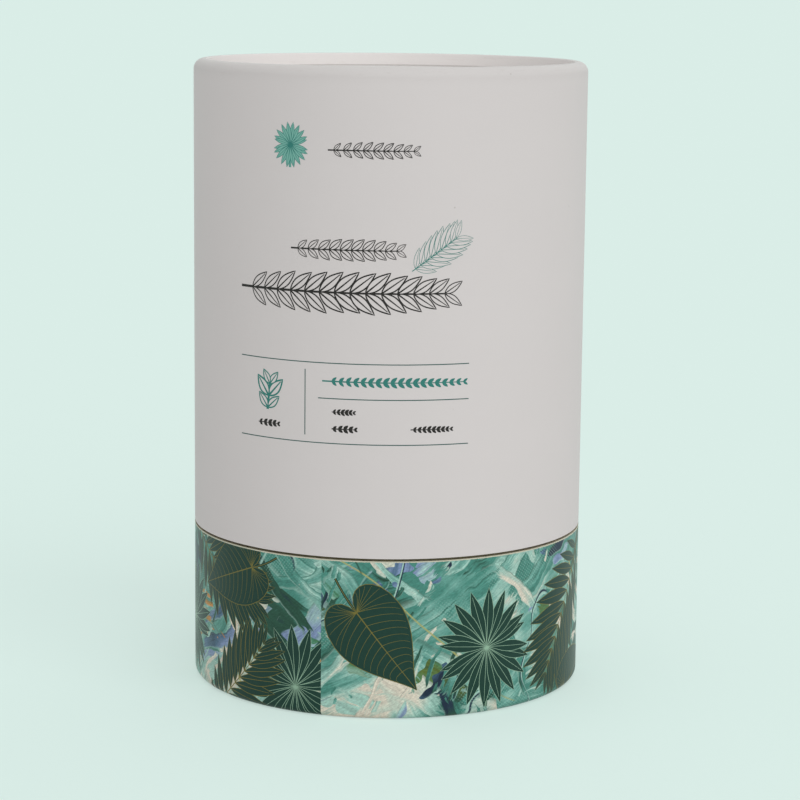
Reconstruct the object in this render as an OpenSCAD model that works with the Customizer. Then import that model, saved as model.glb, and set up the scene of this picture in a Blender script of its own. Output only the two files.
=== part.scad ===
// Cylindrical gift tube box. A lift-off lid slides over a neck that is glued into a short base.
// The lid and the base are wound board tubes whose outer end is rolled inward into a rim,
// and a board disc, set in behind the rim, closes each of them. Printed paper follows the
// board round the rim and closes on itself in a glued lap.
// The origin is at the centre of the foot, +Z is up, and the front faces -Y. Sizes in mm.

/* [Box] */
// Outer diameter of the lid and of the base
box_d = 114; // [80:1:160]
// Height of the closed box
box_h = 181; // [120:1:260]
// Height of the base's top edge above the floor
base_h = 45.1; // [30:0.1:80]
// Open line between the base's top edge and the mouth of the lid
seam_gap = 0.9; // [0.2:0.1:2]

/* [Board] */
// Thickness of the board that the lid is wound from
lid_board = 1.5; // [1:0.1:2.5]
// Thickness of the board that the neck is wound from
neck_board = 1.5; // [1:0.1:2.5]
// Thickness of the two end discs
disc_board = 2; // [1:0.1:4]

/* [Paper] */
// Thickness of the printed paper round the lid and the base
wrap_t = 0.25; // [0.15:0.05:0.5]
// Thickness of the lining paper inside the lid and the neck
liner_t = 0.2; // [0.1:0.05:0.4]
// Thickness of the kraft paper round the neck
kraft_t = 0.2; // [0.1:0.05:0.4]
// Thickness of the papers on the faces of the end discs
facing_t = 0.25; // [0.1:0.05:0.5]

/* [Rolled rims] */
// Free gap that stays inside a roll
roll_gap = 0.2; // [0.1:0.05:0.6]
// Bend of the lid's board at the inner edge of its rim
lid_inner_bend = 0.25; // [0.1:0.05:1]
// Width of the flat land that rolling presses on the lid's rim
lid_land = 0.4; // [0.2:0.1:1.2]
// Height of the lid's turned-in leg below the rounding of the rim
lid_leg = 0.9; // [0.4:0.1:6]
// Width of the flat land on the base's rim, which stands on the table
base_land = 0.8; // [0.4:0.1:1.2]
// Depth of the base's disc above the foot
base_recess = 4.2; // [3.9:0.1:10]

/* [Fits] */
// Clearance all round between the neck and the inside of the lid
neck_fit = 0.3; // [0.1:0.05:0.8]
// Clearance between the neck's top edge and the ceiling of the lid
neck_rest = 0.2; // [0.1:0.1:1]
// Clearance all round an end disc and its papers
disc_fit = 0.1; // [0.05:0.05:0.4]

/* [Laps] */
// Width of the lap where a wrapping paper closes on itself
lap_w = 9; // [4:0.5:14]
// How far the lap stands proud of the single paper
lap_step = 0.12; // [0.05:0.01:0.25]
// Free edge of the base's lap, in degrees round from the front, positive to the right
base_lap_at = -18.3; // [-60:0.1:-12]
// Free edge of the lid's lap, in degrees round from the front
lid_lap_at = 150; // [100:1:160]

/* [Hidden] */
$fn = 180;

// Colours: white and leaf-green prints, grey board, kraft and cream papers
white_print = [0.86, 0.85, 0.83];
green_print = [0.27, 0.50, 0.44];
board_grey = [0.72, 0.68, 0.60];
kraft_brown = [0.60, 0.48, 0.34];
lining_cream = [0.88, 0.85, 0.78];

box_r = box_d / 2;

// Radii, from the outside in
lid_bore_r = box_r - wrap_t - lid_board;
lid_clear_r = lid_bore_r - liner_t;
neck_r = lid_clear_r - neck_fit;
neck_board_r = neck_r - kraft_t;
neck_bore_r = neck_board_r - neck_board;
neck_clear_r = neck_bore_r - liner_t;

// The base's board fills the space between its wrapping paper and the neck glued into it
base_board = box_r - wrap_t - neck_r;

// Slits inside the rolls. The lid's lining runs up into its roll.
lid_slit = roll_gap + liner_t;
base_slit = roll_gap;

// Width of a rolled rim across both of its walls
lid_rim_w = 2 * (wrap_t + lid_board) + lid_slit;
base_rim_w = 2 * (wrap_t + base_board) + base_slit;

// Roundings of the rims, outside and inside. The lid's is turned over a broad outer rounding
// and pressed to a tight inner edge, and the base's is even.
lid_inner = wrap_t + lid_inner_bend;
lid_outer = lid_rim_w - lid_land - lid_inner;
base_round = (base_rim_w - base_land) / 2;

// Heights of the lid. Its disc is set in behind the turned-in leg.
lid_z = base_h + seam_gap;
lid_h = box_h - lid_z;
lid_recess = lid_outer + lid_leg;
lid_facing_z = box_h - lid_recess - facing_t;
lid_disc_z = lid_facing_z - disc_board;
lid_lining_z = lid_disc_z - facing_t;

// Heights of the base and the neck
base_disc_z = base_recess + facing_t;
floor_z = base_disc_z + disc_board;
neck_top_z = lid_lining_z - neck_rest;
neck_h = neck_top_z - floor_z;

// Quarter of a disc of radius r, between +X and +Y
module quarter_disc(r) {
    intersection() {
        circle(r = r);
        square(r);
    }
}

// Outline of a rolled rim in section: the outer and the inner rounding either side of the
// pressed land, over straight sides down to the end of the turned-in leg. x is the radius, the
// crest is at height h, and inset draws the outline smaller by a paper's thickness.
module rim_outline(rim_w, outer, inner, h, recess, inset) {
    translate([box_r - outer, h - outer])
        quarter_disc(outer - inset);
    translate([box_r - outer, h - recess])
        square([outer - inset, recess - outer]);
    translate([box_r - rim_w + inner, h - recess])
        square([rim_w - outer - inner, recess - inset]);
    translate([box_r - rim_w + inner, h - inner])
        mirror([1, 0])
            quarter_disc(inner - inset);
    translate([box_r - rim_w + inset, h - recess])
        square([inner - inset, recess - inner]);
}

// Slit between a tube's wall and its turned-in leg, round-ended under the crest
module roll_slit(board, slit, h, recess) {
    x = box_r - wrap_t - board - slit;
    top = h - wrap_t - board - slit / 2;
    translate([x, h - recess])
        square([slit, top - (h - recess)]);
    translate([x + slit / 2, top])
        circle(r = slit / 2);
}

// Section of a board tube with its rolled rim at height h
module tube_section(board, slit, rim_w, outer, inner, h, recess) {
    difference() {
        rim_outline(rim_w, outer, inner, h, recess, wrap_t);
        roll_slit(board, slit, h, recess);
    }
    translate([box_r - wrap_t - board, 0])
        square([board, h - recess]);
}

// Section of the wrapping paper, which follows the tube's wall and rim
module wrap_section(rim_w, outer, inner, h, recess) {
    difference() {
        rim_outline(rim_w, outer, inner, h, recess, 0);
        rim_outline(rim_w, outer, inner, h, recess, wrap_t);
    }
    translate([box_r - wrap_t, 0])
        square([wrap_t, h - recess]);
}

// Glued lap of a wrapping paper: a raised strip from the mouth up to the rim's rounding
module lap(at, straight_h) {
    rotate([0, 0, at - 90])
        rotate_extrude(angle = lap_w / box_r * 180 / PI)
            translate([box_r, 0])
                square([lap_step, straight_h]);
}

// Ring of paper or board between two radii
module ring(outer_r, inner_r, h) {
    rotate_extrude()
        translate([inner_r, 0])
            square([outer_r - inner_r, h]);
}

// Puts a shape drawn from mouth to rim into the lid, rim up
module in_lid() {
    translate([0, 0, lid_z])
        children();
}

// Puts a shape drawn from mouth to rim into the base, rim down
module in_base() {
    translate([0, 0, base_h])
        mirror([0, 0, 1])
            children();
}

module lid_tube() {
    color(board_grey)
        in_lid()
            rotate_extrude()
                tube_section(lid_board, lid_slit, lid_rim_w, lid_outer, lid_inner, lid_h, lid_recess);
}

module lid_wrap() {
    color(white_print)
        in_lid()
            union() {
                rotate_extrude()
                    wrap_section(lid_rim_w, lid_outer, lid_inner, lid_h, lid_recess);
                lap(lid_lap_at, lid_h - lid_outer);
            }
}

// Lining of the lid's wall, which ends inside the roll
module lid_liner() {
    color(lining_cream)
        in_lid()
            ring(lid_bore_r, lid_clear_r, lid_h - wrap_t - lid_board - lid_slit / 2);
}

module lid_disc() {
    color(board_grey)
        translate([0, 0, lid_disc_z])
            cylinder(r = lid_clear_r - disc_fit, h = disc_board);
}

module lid_disc_facing() {
    color(white_print)
        translate([0, 0, lid_facing_z])
            cylinder(r = lid_clear_r - disc_fit, h = facing_t);
}

module lid_disc_lining() {
    color(lining_cream)
        translate([0, 0, lid_lining_z])
            cylinder(r = lid_clear_r - disc_fit, h = facing_t);
}

module base_tube() {
    color(board_grey)
        in_base()
            rotate_extrude()
                tube_section(base_board, base_slit, base_rim_w, base_round, base_round, base_h, base_recess);
}

module base_wrap() {
    color(green_print)
        in_base()
            union() {
                rotate_extrude()
                    wrap_section(base_rim_w, base_round, base_round, base_h, base_recess);
                lap(base_lap_at, base_h - base_round);
            }
}

module base_disc() {
    color(board_grey)
        translate([0, 0, base_disc_z])
            cylinder(r = neck_r - disc_fit, h = disc_board);
}

module base_disc_facing() {
    color(white_print)
        translate([0, 0, base_recess])
            cylinder(r = neck_r - disc_fit, h = facing_t);
}

// Paper on the floor inside the neck
module floor_lining() {
    color(lining_cream)
        translate([0, 0, floor_z])
            cylinder(r = neck_clear_r - disc_fit, h = facing_t);
}

module neck_tube() {
    color(board_grey)
        translate([0, 0, floor_z])
            ring(neck_board_r, neck_bore_r, neck_h);
}

module neck_wrap() {
    color(kraft_brown)
        translate([0, 0, floor_z])
            ring(neck_r, neck_board_r, neck_h);
}

module neck_liner() {
    color(lining_cream)
        translate([0, 0, floor_z])
            ring(neck_bore_r, neck_clear_r, neck_h);
}

lid_tube();
lid_wrap();
lid_liner();
lid_disc();
lid_disc_facing();
lid_disc_lining();
base_tube();
base_wrap();
base_disc();
base_disc_facing();
floor_lining();
neck_tube();
neck_wrap();
neck_liner();
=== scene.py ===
"""Looks of a cylindrical gift tube box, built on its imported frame.

Papers and prints are drawn flat, as a printer cuts them, and one node tree bends them round the
box. X of a flat sheet runs round the box from the free edge of its lap, Y runs from the tube's
mouth to its rolled rim, and Z is the height above the paper.
"""

import math

import bpy
from bpy.props import FloatProperty, FloatVectorProperty, PointerProperty
from mathutils import Matrix, Vector
from mathutils.bvhtree import BVHTree
from mathutils.geometry import delaunay_2d_cdt, interpolate_bezier


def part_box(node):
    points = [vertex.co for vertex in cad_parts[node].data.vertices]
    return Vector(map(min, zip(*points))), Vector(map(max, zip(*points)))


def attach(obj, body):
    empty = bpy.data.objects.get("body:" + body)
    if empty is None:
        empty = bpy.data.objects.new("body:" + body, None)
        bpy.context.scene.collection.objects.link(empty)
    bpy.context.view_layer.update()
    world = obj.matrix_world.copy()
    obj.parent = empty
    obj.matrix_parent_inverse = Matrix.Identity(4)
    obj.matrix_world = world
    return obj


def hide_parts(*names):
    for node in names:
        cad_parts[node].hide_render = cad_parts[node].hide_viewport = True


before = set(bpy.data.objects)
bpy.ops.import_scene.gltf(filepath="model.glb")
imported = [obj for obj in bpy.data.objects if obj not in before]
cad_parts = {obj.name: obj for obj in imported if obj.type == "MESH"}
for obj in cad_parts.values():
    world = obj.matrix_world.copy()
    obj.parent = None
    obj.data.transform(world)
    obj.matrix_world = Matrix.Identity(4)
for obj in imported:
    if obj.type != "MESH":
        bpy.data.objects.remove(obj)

bl_info = {
    "name": "Cylindrical gift tube box",
    "version": (1, 0, 0),
    "blender": (4, 5, 0),
    "location": "3D View > Sidebar > Gift Box",
    "description": "Papers, prints and stage of a cylindrical gift tube box",
    "category": "Object",
}

MM = 0.001
FULL_TURN = 2 * math.pi
# Lengths that differ by less than this count as the same
SAME = 0.00001
# Steps in which a paper runs down beside its lap
EASE_STEPS = 8
# Corners of printed shapes nearer than this are welded, in mm
WELD = 0.001
# Height between stacked shapes while the uppermost is looked for, in mm
STACK_STEP = 0.01
FLAT = "flat"
CUT_EDGE = "cut_edge"
INK = "ink"
# Ink of a shape that leaves the paper bare and hides the lines beneath it
BARE = "bare"


def srgb(red, green, blue):
    """Linear colour of one given in 8-bit sRGB."""
    shares = (red / 255, green / 255, blue / 255)
    return tuple(c / 12.92 if c <= 0.04045 else ((c + 0.055) / 1.055) ** 2.4 for c in shares)


# Settings


def length(label, text, value):
    """A length that a user can change."""
    return FloatProperty(name=label, description=text, default=value, min=0, unit="LENGTH", precision=5)


def colour(label, text, value):
    """A colour that a user can change."""
    return FloatVectorProperty(
        name=label, description=text, default=value, size=3, min=0, max=1, subtype="COLOR"
    )


class PaperSettings(bpy.types.PropertyGroup):
    """Sizes and colours of the papers and the board."""

    facet: length("Facet", "Width of one facet of a paper round the box", 1.0 * MM)
    lap_ease: length("Lap ease", "Width over which a paper runs down beside its lap", 2.5 * MM)
    waviness: length("Waviness", "Depth of the wall's slow unevenness", 0.05 * MM)
    pucker: length("Pucker", "Depth of the creases where paper is rolled inward", 0.04 * MM)
    worn_edge: length("Worn edge", "Width along a mouth where the print has rubbed off", 0.32 * MM)
    proud_edge: length("Proud edge", "Height of the base's paper above its board at the seam", 0.2 * MM)
    ply: length("Ply", "Thickness of one ply of the board", 0.4 * MM)
    winding: length("Winding", "Climb of a wound paper's joint in one turn", 118 * MM)
    white: colour("Lid white", "White of the lid's paper", srgb(221, 217, 215))
    core: colour("Cut edge", "Core of a printed paper at its cut edge", srgb(206, 205, 184))
    board: colour("Board", "Grey board", srgb(214, 206, 186))
    kraft: colour("Kraft", "Olive kraft paper round the neck", srgb(158, 154, 121))
    lining: colour("Lining", "Lining paper", srgb(232, 225, 209))


class InkSettings(bpy.types.PropertyGroup):
    """Sizes and colours of the printed lines and leaves."""

    ink_height: length("Ink height", "Height of a printed shape above its paper", 0.02 * MM)
    ink_root: length("Ink root", "Depth of a printed shape in its paper", 0.05 * MM)
    vein: length("Vein", "Width of the veins on a printed leaf", 0.18 * MM)
    fine_line: length("Fine line", "Width of the rules on the lid", 0.26 * MM)
    leaf: colour("Leaf green", "Dark green of the printed leaves", srgb(28, 62, 52))
    gold: colour("Vein gold", "Old gold of the veins", srgb(122, 115, 54))
    pale: colour("Vein mint", "Pale mint of the fan leaves' lines", srgb(150, 186, 160))
    slate: colour("Slate ink", "Dark grey-green of the lid's rules", srgb(48, 92, 87))
    teal: colour("Teal ink", "Teal of the lid's twigs", srgb(56, 130, 121))
    soft_teal: colour("Soft teal ink", "Light teal of the lid's leaves", srgb(126, 186, 172))
    charcoal: colour("Charcoal ink", "Charcoal of the lid's branch", srgb(44, 42, 40))


class PaintSettings(bpy.types.PropertyGroup):
    """Pigments of the painted ground under the printed leaves."""

    deep: colour("Deep green", "Darkest green of the ground", srgb(44, 84, 68))
    teal: colour("Teal", "Main colour of the ground", srgb(75, 140, 126))
    sea: colour("Sea green", "Lighter strokes", srgb(112, 170, 157))
    mint: colour("Mint", "Palest green strokes", srgb(166, 206, 192))
    cream: colour("Cream", "Warm pale strokes", srgb(220, 214, 196))
    lavender: colour("Lavender", "Cool pale strokes", srgb(134, 154, 190))
    steel: colour("Steel blue", "Middling blue strokes", srgb(78, 112, 138))
    navy: colour("Navy", "Darkest strokes", srgb(34, 50, 70))
    leaf: colour("Leaf green", "Bright green strokes", srgb(76, 136, 98))
    ochre: colour("Ochre", "Warm accents", srgb(206, 134, 42))
    moss: colour("Moss", "Olive accents", srgb(92, 112, 52))


class StageSettings(bpy.types.PropertyGroup):
    """Floor, lamps and camera."""

    backdrop: colour("Backdrop", "Floor and background as the camera sees them", srgb(218, 237, 231))
    bounce: colour("Bounce", "Floor and surroundings as the box is lit by them", (0.8, 0.8, 0.8))
    exposure: FloatProperty(
        name="Floor light", description="Brightness at which white paint on the floor is seen", default=0.923, min=0.1
    )
    glow: FloatProperty(
        name="Glow", description="Share of the floor's colour that the camera sees unshaded", default=0.55, min=0, max=1
    )
    ambient: FloatProperty(name="Ambient", description="Light from all round", default=0.7, min=0)
    key: FloatProperty(name="Key", description="Strength of the key lamp", default=1.05, min=0)
    back: FloatProperty(name="Back", description="Strength of the rear lamp", default=0.3, min=0)
    camera_distance: length("Camera distance", "From the box's axis to the camera", 754.5 * MM)
    camera_height: length("Camera height", "Height of the camera above the floor", 208.6 * MM)
    camera_side: length("Camera side", "How far the camera stands to the right", 1.38 * MM)
    camera_pitch: FloatProperty(
        name="Camera pitch", description="Tilt of the view below level", default=0.1675, unit="ROTATION"
    )
    camera_yaw: FloatProperty(
        name="Camera yaw", description="Turn of the view to the right", default=0.0029, unit="ROTATION"
    )
    camera_roll: FloatProperty(
        name="Camera roll", description="Roll of the camera", default=0.0101, unit="ROTATION"
    )
    lens: FloatProperty(name="Lens", description="Focal length in millimetres", default=116.46, min=10)


# Node trees


def find_socket(sockets, key):
    """The socket at an index, or with an identifier or else a name."""
    if isinstance(key, int):
        return sockets[key]
    for socket in sockets:
        if socket.identifier == key:
            return socket
    return sockets[key]


class Wire:
    """A node's output. Arithmetic on it adds Math nodes to its tree."""

    def __init__(self, patch, socket):
        self.patch = patch
        self.socket = socket

    def math(self, operation, *terms):
        return self.patch.node("ShaderNodeMath", {"operation": operation}, dict(enumerate(terms)))

    def __add__(self, other):
        return self.math("ADD", self, other)

    def __radd__(self, other):
        return self.math("ADD", other, self)

    def __sub__(self, other):
        return self.math("SUBTRACT", self, other)

    def __rsub__(self, other):
        return self.math("SUBTRACT", other, self)

    def __mul__(self, other):
        return self.math("MULTIPLY", self, other)

    def __rmul__(self, other):
        return self.math("MULTIPLY", other, self)

    def __truediv__(self, other):
        return self.math("DIVIDE", self, other)

    def __gt__(self, other):
        return self.math("GREATER_THAN", self, other)

    def __lt__(self, other):
        return self.math("LESS_THAN", self, other)

    def at_least(self, other):
        return self.math("MAXIMUM", self, other)

    def at_most(self, other):
        return self.math("MINIMUM", self, other)

    def size(self):
        return self.math("ABSOLUTE", self)

    def whole(self):
        return self.math("FLOOR", self)

    def fraction(self):
        return self.math("FRACT", self)

    def root(self):
        return self.math("SQRT", self)

    def sine(self):
        return self.math("SINE", self)

    def cosine(self):
        return self.math("COSINE", self)


class Patch:
    """A node tree while it is wired up."""

    def __init__(self, tree):
        self.tree = tree

    def connect(self, value, socket):
        """Links a wire to a socket, or sets the socket to a value."""
        if isinstance(value, Wire):
            self.tree.links.new(value.socket, socket)
        else:
            socket.default_value = value

    def node(self, kind, settings=None, inputs=None, output=0):
        """Adds a node, and returns the wire of its output, or one wire for each output named."""
        node = self.tree.nodes.new(kind)
        for name, value in (settings or {}).items():
            if name == "stops":
                set_stops(node.color_ramp, value)
            else:
                setattr(node, name, value)
        for key, value in (inputs or {}).items():
            self.connect(value, find_socket(node.inputs, key))
        if isinstance(output, tuple):
            return [Wire(self, find_socket(node.outputs, key)) for key in output]
        return Wire(self, find_socket(node.outputs, output)) if node.outputs else node

    def split(self, vector):
        """The three parts of a vector or colour."""
        return self.node("ShaderNodeSeparateXYZ", None, {"Vector": vector}, ("X", "Y", "Z"))

    def vector(self, x, y, z=0.0):
        return self.node("ShaderNodeCombineXYZ", None, {"X": x, "Y": y, "Z": z})

    def stretch(self, vector, factors):
        return self.node("ShaderNodeVectorMath", {"operation": "MULTIPLY"}, {0: vector, 1: factors})

    def shift(self, vector, offset):
        return self.node("ShaderNodeVectorMath", {"operation": "ADD"}, {0: vector, 1: offset})

    def scaled(self, vector, factor):
        return self.node("ShaderNodeVectorMath", {"operation": "SCALE"}, {0: vector, "Scale": factor})

    def turn(self, vector, angle):
        """A vector turned about Z by an angle in degrees."""
        return self.node(
            "ShaderNodeVectorRotate",
            {"rotation_type": "Z_AXIS"},
            {"Vector": vector, "Angle": math.radians(angle)},
        )

    def noise(self, vector, scale=1.0, detail=2.0, roughness=0.5, output="Fac"):
        return self.node(
            "ShaderNodeTexNoise",
            {"noise_dimensions": "3D"},
            {"Vector": vector, "Scale": scale, "Detail": detail, "Roughness": roughness},
            output,
        )

    def chances(self, x, y, z=0.0):
        """Three random shares that stay the same for the same three numbers."""
        return self.split(
            self.node(
                "ShaderNodeTexWhiteNoise", {"noise_dimensions": "3D"}, {"Vector": self.vector(x, y, z)}, "Color"
            )
        )

    def ramp(self, pigments, share):
        """A colour from evenly spaced pigments, by a share from 0 to 1."""
        return self.node("ShaderNodeValToRGB", {"stops": evenly(pigments)}, {"Fac": share}, "Color")

    def smooth(self, value, start, end, first=0.0, last=1.0):
        """A smooth step from first to last as a value goes from start to end."""
        return self.node(
            "ShaderNodeMapRange",
            {"interpolation_type": "SMOOTHSTEP"},
            {"Value": value, "From Min": start, "From Max": end, "To Min": first, "To Max": last},
        )

    def mix(self, factor, first, second, blend="MIX"):
        """A colour between two, or one laid on the other by a blend mode."""
        return self.node(
            "ShaderNodeMix",
            {"data_type": "RGBA", "blend_type": blend},
            {"Factor_Float": factor, "A_Color": opaque(first), "B_Color": opaque(second)},
            "Result_Color",
        )


def opaque(value):
    """A colour with its alpha, or a wire as it is."""
    return value if isinstance(value, Wire) else (*value, 1.0)


def set_stops(ramp, stops):
    """Gives a colour ramp its stops, each a place and a colour."""
    while len(ramp.elements) < len(stops):
        ramp.elements.new(1.0)
    for element, (place, value) in zip(ramp.elements, stops):
        element.position = place
        element.color = (*value, 1.0)


def evenly(colours):
    """Stops of a colour ramp that are spaced evenly."""
    return [(index / (len(colours) - 1), value) for index, value in enumerate(colours)]


def geometry_patch(name, inputs):
    """A new geometry node tree, with its wires by input name. Inputs are names and socket kinds."""
    tree = bpy.data.node_groups.new(name, "GeometryNodeTree")
    for direction in ("INPUT", "OUTPUT"):
        tree.interface.new_socket("Geometry", in_out=direction, socket_type="NodeSocketGeometry")
    for label, kind in inputs.items():
        tree.interface.new_socket(label, in_out="INPUT", socket_type="NodeSocket" + kind)
    patch = Patch(tree)
    entry = tree.nodes.new("NodeGroupInput")
    return patch, {socket.name: Wire(patch, socket) for socket in entry.outputs if socket.name}


def close_patch(patch, geometry, base_material, mark, mark_material):
    """Ends a geometry tree: instances made real, and materials set, one of them on marked faces."""
    geometry = patch.node("GeometryNodeRealizeInstances", None, {"Geometry": geometry})
    geometry = patch.node("GeometryNodeSetMaterial", None, {"Geometry": geometry, "Material": base_material})
    geometry = patch.node(
        "GeometryNodeSetMaterial",
        None,
        {"Geometry": geometry, "Selection": mark, "Material": mark_material},
    )
    patch.node("NodeGroupOutput", None, {"Geometry": geometry})


def run_tree(piece, tree, values):
    """Runs a geometry tree on an object and leaves the result as its plain mesh."""
    modifier = piece.modifiers.new(tree.name, "NODES")
    modifier.node_group = tree
    sockets = {i.name: i.identifier for i in tree.interface.items_tree if i.in_out == "INPUT"}
    for name, value in values.items():
        modifier[sockets[name]] = value
    graph = bpy.context.evaluated_depsgraph_get()
    mesh = bpy.data.meshes.new_from_object(
        piece.evaluated_get(graph), preserve_all_data_layers=True, depsgraph=graph
    )
    piece.modifiers.remove(modifier)
    flat_mesh = piece.data
    piece.data = mesh
    bpy.data.meshes.remove(flat_mesh)
    mesh.name = piece.name


def round_box_tree():
    """The tree that bends a flat sheet round the box and over its rolled rim."""
    name = "Wrap Round Box"
    if name in bpy.data.node_groups:
        return bpy.data.node_groups[name]
    lengths = ("Radius", "Mouth", "Wall", "Corner", "Land", "Inner Corner", "Thickness")
    lengths += ("Lap Width", "Lap Step", "Lap Ease", "Ink Height", "Waviness", "Pucker")
    inputs = {label: "Float" for label in (*lengths, "Rim Up", "Lap Azimuth")}
    patch, given = geometry_patch(name, {**inputs, "Paper": "Material", "Edge": "Material"})
    place = patch.node("GeometryNodeInputPosition")
    along, up, out = patch.split(place)
    corner, inner = given["Corner"], given["Inner Corner"]
    quarter, inner_quarter = corner * (math.pi / 2), inner * (math.pi / 2)
    past_wall = up - given["Wall"]
    past_corner = past_wall - quarter
    past_land = past_corner - given["Land"]
    outer_turn = past_wall.at_least(0.0).at_most(quarter) / corner
    on_land = past_corner.at_least(0.0).at_most(given["Land"])
    inner_turn = past_land.at_least(0.0).at_most(inner_quarter) / inner
    on_leg = (past_land - inner_quarter).at_least(0.0)
    radius = given["Radius"] - corner * (1.0 - outer_turn.cosine()) - on_land - inner * inner_turn.sine()
    height = up.at_most(given["Wall"]) + corner * outer_turn.sine()
    height = height - inner * (1.0 - inner_turn.cosine()) - on_leg

    lap = patch.smooth(along, given["Lap Width"], given["Lap Width"] + given["Lap Ease"], 1.0, 0.0)
    lap = lap * patch.smooth(past_wall, 0.0, quarter, 1.0, 0.0)
    swell = patch.noise(patch.stretch(place, (30.0, 22.0, 0.0)), 1.0, 1.0)
    crease = patch.noise(patch.stretch(place, (520.0, 120.0, 0.0)), 1.0, 2.0, 0.6)
    creased = crease * patch.smooth(past_wall, 0.0, quarter)
    sunk = given["Ink Height"] + swell * given["Waviness"] + creased * given["Pucker"]
    outer = out > given["Thickness"] * -0.5
    out = out + (lap * given["Lap Step"] - sunk) * outer
    lean = outer_turn + inner_turn
    radius = radius + out * lean.cosine()
    height = height + out * lean.sine()
    azimuth = given["Lap Azimuth"] + along / given["Radius"]
    bent = patch.vector(
        radius * azimuth.sine(), radius * azimuth.cosine() * -1.0, given["Mouth"] + height * given["Rim Up"]
    )

    sheet = patch.node(
        "GeometryNodeStoreNamedAttribute",
        {"data_type": "FLOAT_VECTOR", "domain": "POINT"},
        {"Geometry": given["Geometry"], "Name": FLAT, "Value": place},
    )
    sheet = patch.node("GeometryNodeSetPosition", None, {"Geometry": sheet, "Position": bent})
    downward = patch.node(
        "FunctionNodeCompare",
        {"data_type": "FLOAT", "operation": "LESS_THAN"},
        {"A": given["Rim Up"], "B": 0.0},
    )
    sheet = patch.node("GeometryNodeFlipFaces", None, {"Mesh": sheet, "Selection": downward})
    cut = patch.node("GeometryNodeInputNamedAttribute", {"data_type": "BOOLEAN"}, {"Name": CUT_EDGE})
    close_patch(patch, sheet, given["Paper"], cut, given["Edge"])
    return patch.tree


def leaf_spray_tree():
    """The tree that sets leaves along both sides of a stem."""
    name = "Leaves Along Stem"
    if name in bpy.data.node_groups:
        return bpy.data.node_groups[name]
    shares = ("Foot Size", "Middle Size", "Tip Size", "Foot Angle", "Tip Angle", "Swing")
    inputs = {"Leaf": "Object", "Count": "Int", "Seed": "Int", **{label: "Float" for label in shares}}
    patch, given = geometry_patch(name, {**inputs, "Blade Ink": "Material", "Line Ink": "Material"})
    stem = patch.node("GeometryNodeMeshToCurve", None, {"Mesh": given["Geometry"]})
    stem = patch.node("GeometryNodeResampleCurve", None, {"Curve": stem, "Count": given["Count"]})
    share = patch.node("GeometryNodeSplineParameter")
    ahead, across, _ = patch.split(patch.node("GeometryNodeInputTangent"))
    heading = ahead.math("ARCTAN2", across, ahead)
    angle = given["Foot Angle"] + (given["Tip Angle"] - given["Foot Angle"]) * share
    middle = share * (1.0 - share) * 4.0
    ends = given["Foot Size"] + (given["Tip Size"] - given["Foot Size"]) * share
    size = ends + (given["Middle Size"] - ends) * middle
    leaf = patch.node("GeometryNodeObjectInfo", None, {"Object": given["Leaf"]}, "Geometry")
    sprays = patch.tree.nodes.new("GeometryNodeJoinGeometry")
    for seed_step, side in enumerate((1.0, -1.0)):
        swing = patch.node(
            "FunctionNodeRandomValue",
            {"data_type": "FLOAT"},
            {"Min_001": given["Swing"] * -1.0, "Max_001": given["Swing"], "Seed": given["Seed"] + seed_step},
            "Value_001",
        )
        turned = patch.vector(0.0, 0.0, heading + (angle + swing) * side)
        instances = patch.node(
            "GeometryNodeInstanceOnPoints",
            None,
            {"Points": stem, "Instance": leaf, "Rotation": turned, "Scale": patch.vector(size, size * side, 1.0)},
        )
        patch.connect(instances, sprays.inputs[0])
    lines = patch.node("GeometryNodeInputNamedAttribute", {"data_type": "BOOLEAN"}, {"Name": INK})
    close_patch(patch, Wire(patch, sprays.outputs[0]), given["Blade Ink"], lines, given["Line Ink"])
    return patch.tree


# Sizes read from the frame


def reach(node):
    """Radius, azimuth from the front and height of each point of a node."""
    points = [vertex.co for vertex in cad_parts[node].data.vertices]
    return [(math.hypot(p.x, p.y), math.atan2(p.x, -p.y), p.z) for p in points]


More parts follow.
